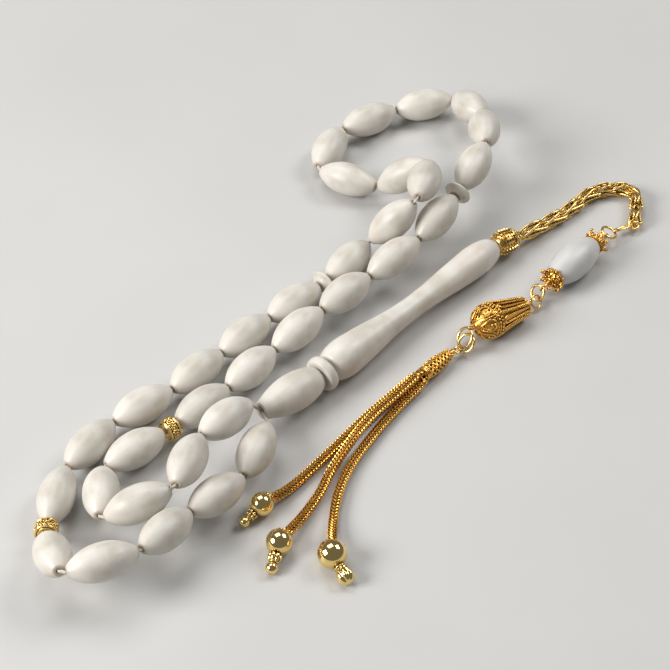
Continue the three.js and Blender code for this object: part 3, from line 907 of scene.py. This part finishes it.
def make_chain_ring():
    """The ring that closes the chain, an oval link, and the jump ring through the tassel's eye."""
    shape = Shape()
    end = CHAIN_JOINTS[-1]
    closing = axis_frame(end + Vector((-0.25, -0.1, 0.0)) * MM, (0.15, -0.3, 1.0))
    shape.ring(closing, 1.0 * MM, 0.28 * MM, 10, 44)
    centre = place(55.45, 26.6, 2.3)
    jump = axis_frame(centre, facing(UPPER_EYE - centre, (0.15, -0.35, 0.9)))
    shape.ring(jump, 1.55 * MM, 0.27 * MM, 12, 56)
    away = end - centre
    near = centre + away.normalized() * 1.25 * MM
    far = end - away.normalized() * 0.7 * MM
    flat_link(shape, near, far, 0.72 * MM, 0.26 * MM, math.radians(58))
    piece("jump_ring_set", shape, GOLD, "chain_ring", ("chain_ring",))


# ---- tassel: bead, flower caps, rings, lantern, binding ----
def make_tassel_bead():
    shape = Shape()
    outline = barley(TASSEL_LENGTH, TASSEL_RADIUS, TASSEL_TIP, TASSEL_POWER, 52)
    shape.turned(drilled(outline, TASSEL_BORE), Matrix.Identity(4), 72, closed=True)
    piece("tassel_pearl", shape, PEARL, "tassel_bead", ("tassel_bead",),
          axis_frame(TASSEL_CENTRE, TASSEL_ALONG), 45, 0.1)


FLOWER_CUP = [
    (1.62, 0.12), (1.9, 0.25), (1.92, 0.5), (1.6, 0.95), (1.1, 1.3), (0.65, 1.6), (0.45, 2.2),
]
PETALS = 7


def flower(shape, matrix, eye):
    """A filigree flower: a cup on the bead's end, wire petals with granules, a twisted rim and an eye."""
    shape.turned(smoothed(FLOWER_CUP, 4), matrix, 48)
    rope = round_points(matrix @ Matrix.Translation((0, 0, 0.36 * MM)), 2.0 * MM, 144)
    shape.rope(rope, 0.22 * MM, 15, closed=True)
    lean = Matrix.Translation((2.05 * MM, 0, 0.85 * MM)) @ Matrix.Rotation(math.radians(-42), 4, "Y")
    inward = Matrix.Translation((1.5 * MM, 0, 1.15 * MM)) @ Matrix.Rotation(math.radians(40), 4, "Y")
    for k in range(PETALS):
        turn = matrix @ Matrix.Rotation(2 * math.pi * k / PETALS, 4, "Z")
        petal = turn @ lean
        shape.ring(petal, 0.52 * MM, 0.17 * MM, 8, 22, 1.3)
        shape.granule(petal.translation, 0.3 * MM)
        shape.granule(petal @ Vector((0.8 * MM, 0, 0.02 * MM)), 0.27 * MM)
        shape.granule(turn @ Vector((1.25 * MM, 0, 1.5 * MM)), 0.24 * MM)
        half = turn @ Matrix.Rotation(math.pi / PETALS, 4, "Z")
        shape.ring(half @ inward, 0.34 * MM, 0.12 * MM, 6, 18)
        shape.granule(half @ Vector((2.25 * MM, 0, 0.2 * MM)), 0.27 * MM)
    shape.ring(matrix @ Matrix.Translation((0, 0, 1.72 * MM)), 0.8 * MM, 0.2 * MM, 8, 36)
    stem = matrix.translation + (eye.translation - matrix.translation) * 0.86
    foot, bend = matrix @ Vector((0, 0, 1.5 * MM)), matrix @ Vector((0, 0, 2.6 * MM))
    shape.wire(curve_through([foot, bend, stem], 6), 0.3 * MM, 12)
    shape.ring(matrix @ Matrix.Translation((0, 0, 2.4 * MM)), 0.36 * MM, 0.16 * MM, 8, 28)
    shape.ring(eye, 0.52 * MM, 0.2 * MM, 8, 30, 1.15)


def make_tassel_wire():
    """Both flower caps and the wire through the bead, which is what the bead turns on."""
    start = TASSEL_LENGTH / 2 + 0.3 * MM
    for name, sign, eye_at in (("upper", -1, UPPER_EYE), ("lower", 1, LOWER_EYE)):
        matrix = axis_frame(TASSEL_CENTRE + TASSEL_ALONG * sign * start, TASSEL_ALONG * sign)
        shape = Shape()
        reach = eye_at - matrix.translation
        flower(shape, matrix, axis_frame(eye_at, reach) @ Matrix.Rotation(math.pi / 2, 4, "Y"))
        if sign > 0:
            wire = [TASSEL_CENTRE + TASSEL_ALONG * s * start for s in (-1.02, 0, 1.02)]
            shape.wire(wire, TASSEL_WIRE, 12)
        piece(f"flower_{name}", shape, DEEP_GOLD, "tassel_wire", (f"tassel_cap_{name}",))


def tilted_ring(shape, centre, axis, major, minor):
    shape.ring(axis_frame(centre, axis), major * MM, minor * MM, 10, 52)


def make_link_rings():
    """Two rings linked into each other between the bead's lower eye and the lantern."""
    shape = Shape()
    tilted_ring(shape, place(39.75, 9.25, 2.41), (-0.66, -0.52, 0.54), 1.5, 0.29)
    tilted_ring(shape, place(39.3, 7.4, 1.68), (0.64, -0.45, 0.62), 1.3, 0.26)
    piece("linked_rings", shape, GOLD, "link_ring", ("link_ring",))


def make_lower_rings():
    """A pair of split rings through the lantern's eye, and the small link to the binding."""
    shape = Shape()
    tilted_ring(shape, place(24.9, -3.2, 2.6), (-0.75, -0.32, 0.59), 1.9, 0.28)
    tilted_ring(shape, place(25.1, -4.3, 2.2), (-0.62, -0.30, 0.72), 1.8, 0.28)
    flat_link(shape, place(24.2, -5.0, 1.2), place(22.3, -6.1, 1.9), 0.6 * MM, 0.22 * MM, 0.4)
    piece("split_rings", shape, GOLD, "lower_ring", ("lower_ring",))


LANTERN_CORE = [
    (1.5, 1.05), (1.6, 1.5), (1.9, 3.0), (2.35, 5.5), (2.82, 8.0), (3.16, 9.2), (3.25, 10.2),
    (3.1, 11.2), (2.6, 12.2), (1.7, 13.0), (0.75, 13.5), (0.3, 13.8),
]
RIBS = 6
ARCH = 0.19  # half an arch's width, as a share of the space between two ribs
PETAL = 0.36  # half a petal's width, likewise
PETAL_GRANULES = ((11.0, 0.3), (11.65, 0.26), (12.25, 0.2))
LANTERN_RINGS = ((1.3, 1.86, 0.22), (1.05, 1.62, 0.18), (9.0, 3.24, 0.14), (10.4, 3.32, 0.14))
BELT_GRANULES = 30
LINE_STEPS = 14


def standing(core, height, angle, out):
    """A point standing out of a turned outline; the height and the distance out are in millimetres."""
    stand, _ = on_surface(core, height * MM, angle)
    return stand @ Vector((0, 0, out * MM))


def lantern_line(core, low, high, angle, out, sway=0.0):
    """A line up the lantern's side, standing a little out of its core."""
    points = []
    for k in range(LINE_STEPS + 1):
        share = k / LINE_STEPS
        turn = angle + sway * math.sin(math.pi * share)
        points.append(standing(core, low + (high - low) * share, turn, out))
    return points


def make_lantern():
    """A fluted drop: twisted ribs between long arches, a granulated belt and a petalled dome."""
    shape = Shape()
    core = smoothed(LANTERN_CORE, 5)
    shape.turned(core, Matrix.Identity(4), 72)
    sector = 2 * math.pi / RIBS
    for k in range(RIBS):
        shape.rope(evenly(lantern_line(core, 1.5, 8.9, k * sector, 0.28), 60), 0.38 * MM, 8)
        middle = (k + 0.5) * sector
        left = lantern_line(core, 1.5, 7.9, middle - ARCH * sector, 0.2)
        right = lantern_line(core, 1.5, 7.9, middle + ARCH * sector, 0.2)
        arch = []
        for s in range(1, 8):
            phi = math.pi * s / 8
            angle = middle - ARCH * sector * math.cos(phi)
            arch.append(standing(core, 7.9 + 0.85 * math.sin(phi), angle, 0.2))
        shape.wire([*left, *arch, *reversed(right)], 0.26 * MM, 8)
        petal_left = lantern_line(core, 10.45, 13.2, middle, 0.14, -PETAL * sector)
        petal_right = lantern_line(core, 10.45, 13.2, middle, 0.14, PETAL * sector)
        shape.wire([*petal_left, *reversed(petal_right[:-1])], 0.2 * MM, 8)
        shape.rope(evenly(lantern_line(core, 10.6, 13.1, k * sector, 0.12), 24), 0.2 * MM, 4)
        for height, radius in PETAL_GRANULES:
            shape.granule(standing(core, height, middle, 0.08), radius * MM)
        for side in (-0.136, 0.136):
            shape.granule(standing(core, 10.75, k * sector + side * sector, 0.1), 0.2 * MM)
    for height, major, minor in LANTERN_RINGS:
        shape.hoop(height, major, minor, 8, 80)
    for height, turn in ((9.38, 0.0), (9.95, 0.5)):
        for k in range(BELT_GRANULES):
            angle = 2 * math.pi * (k + turn) / BELT_GRANULES
            shape.granule(standing(core, height, angle, 0.16), 0.26 * MM, sides=8)
    shape.hoop(13.35, 0.72, 0.2, 8, 32)
    shape.wire([Vector((0, 0, h * MM)) for h in (0.75, 1.2, 1.7)], 0.28 * MM, 10)
    for height in LANTERN_EYES:
        eye = Matrix.Translation((0, 0, height)) @ Matrix.Rotation(math.pi / 2, 4, "Y")
        shape.ring(eye, 0.5 * MM, 0.2 * MM, 8, 28, 1.4)
    piece("fluted_lantern", shape, DEEP_GOLD, "lantern", ("lantern",),
          axis_frame(LANTERN[0], LANTERN[1] - LANTERN[0]), 60)


TERMINAL_CORE = [
    (0.35, 0.3), (0.4, 1.2), (0.72, 1.5), (0.8, 2.2), (1.05, 3.6), (1.22, 5.4), (1.2, 6.8),
    (1.1, 7.8), (1.05, 9.0),
]
TERMINAL_RINGS = ((1.2, 0.5, 0.24), (1.55, 0.78, 0.28), (2.0, 0.86, 0.2))
NET_WIRES = 7  # each way
NET_TURNS = 0.85
NET_HEIGHTS = (1.9 * MM, 7.9 * MM)
NET_STEPS = 42
BINDING_TURNS = 3
BINDING_STEPS = 120


def net_wire(core, hand, k):
    """One wire of the net, wound to one hand, passing over and under the wires of the other hand."""
    low, high = NET_HEIGHTS
    phase = math.pi if hand > 0 else 0.0
    points = []
    for s in range(NET_STEPS + 1):
        share = s / NET_STEPS
        height = low + (high - low) * share
        wave = math.sin(2 * NET_WIRES * math.pi * NET_TURNS * share + phase)
        reach = on_surface(core, height, 0.0)[1] + (0.16 + 0.07 * wave) * MM
        angle = 2 * math.pi * (k / NET_WIRES + hand * NET_TURNS * share)
        points.append(Vector((reach * math.cos(angle), reach * math.sin(angle), height)))
    return points


def make_terminal():
    """A knobbed collar, a net of crossed wires that widens, and a wire binding round the three strands."""
    matrix = axis_frame(TERMINAL[0], TERMINAL[1] - TERMINAL[0])
    shape = Shape()
    core = smoothed(TERMINAL_CORE)
    shape.turned(core, Matrix.Identity(4), 32)
    for hand in (-1, 1):
        for k in range(NET_WIRES):
            shape.wire(net_wire(core, hand, k), 0.19 * MM, 7)
    for height, major, minor in TERMINAL_RINGS:
        shape.hoop(height, major, minor, 10, 40)
    shape.granule_ring(4, 0.98, 1.6, 0.34, 0.3)
    binding = []
    for s in range(BINDING_STEPS + 1):
        angle = 2 * math.pi * BINDING_TURNS * s / BINDING_STEPS
        height = (7.8 + 1.15 * s / BINDING_STEPS) * MM
        binding.append(Vector((1.24 * MM * math.cos(angle), 1.24 * MM * math.sin(angle), height)))
    shape.wire(binding, 0.21 * MM, 8)
    inverse = matrix.inverted()
    for strand in STRANDS:
        start = inverse @ strand["route"][0]
        root = Vector((start.x, start.y, 0.0)) * 0.42 + Vector((0, 0, 8.3 * MM))
        weave_foxtail(shape, [root, root.lerp(start, 0.5), root.lerp(start, 0.9)])
    eye = Matrix.Translation((0, 0, 0.1 * MM)) @ Matrix.Rotation(math.pi / 2, 4, "X")
    shape.ring(eye, 0.5 * MM, 0.18 * MM, 8, 28)
    piece("netted_binding", shape, DEEP_GOLD, "tassel_terminal", ("tassel_terminal",), matrix, 60)


# ---- floor and light ----
FLOOR_HALF = 6.0


def make_floor():
    mesh = bpy.data.meshes.new("floor")
    corners = [(x * FLOOR_HALF, y * FLOOR_HALF, 0) for x, y in ((-1, -1), (1, -1), (1, 1), (-1, 1))]
    mesh.from_pydata(corners, [], [(0, 1, 2, 3)])
    mesh.materials.append(floor_material())
    floor = bpy.data.objects.new("floor", mesh)
    bpy.context.scene.collection.objects.link(floor)


def make_light(name, direction, distance, size, power, colour):
    """A softbox aimed at the middle of the floor, this far away in metres."""
    data = bpy.data.lights.new(name, "AREA")
    data.shape = "RECTANGLE"
    data.size, data.size_y = size
    data.energy = power
    data.color = colour
    light = bpy.data.objects.new(name, data)
    bpy.context.scene.collection.objects.link(light)
    light.location = Vector(direction).normalized() * distance
    light.rotation_mode = "QUATERNION"
    light.rotation_quaternion = (-light.location).to_track_quat("-Z", "Y")


WORLD_GREY = (0.84, 0.84, 0.84, 1.0)
WORLD_STRENGTH = 0.20


def make_lights():
    """Three softboxes and an even grey room."""
    make_light("left_softbox", (-0.85, -0.30, 0.55), 0.7, (0.36, 0.30), 5.2, (1.0, 0.98, 0.955))
    make_light("right_softbox", (0.60, 0.35, 0.75), 0.8, (0.36, 0.30), 2.6, (1.0, 0.985, 0.965))
    make_light("top_softbox", (-0.25, 0.45, 1.0), 1.0, (0.6, 0.5), 3.4, (1.0, 0.99, 0.98))
    world = bpy.data.worlds.new("world")
    bpy.context.scene.world = world
    world.use_nodes = True
    background = world.node_tree.nodes["Background"]
    background.inputs["Color"].default_value = WORLD_GREY
    background.inputs["Strength"].default_value = WORLD_STRENGTH
    bpy.context.scene.view_settings.view_transform = "Standard"


make_camera()
make_strands()
make_string()
make_cap()
make_chain()
make_chain_ring()
make_tassel_bead()
make_tassel_wire()
make_link_rings()
make_lantern()
make_lower_rings()
make_terminal()
make_floor()
make_lights()
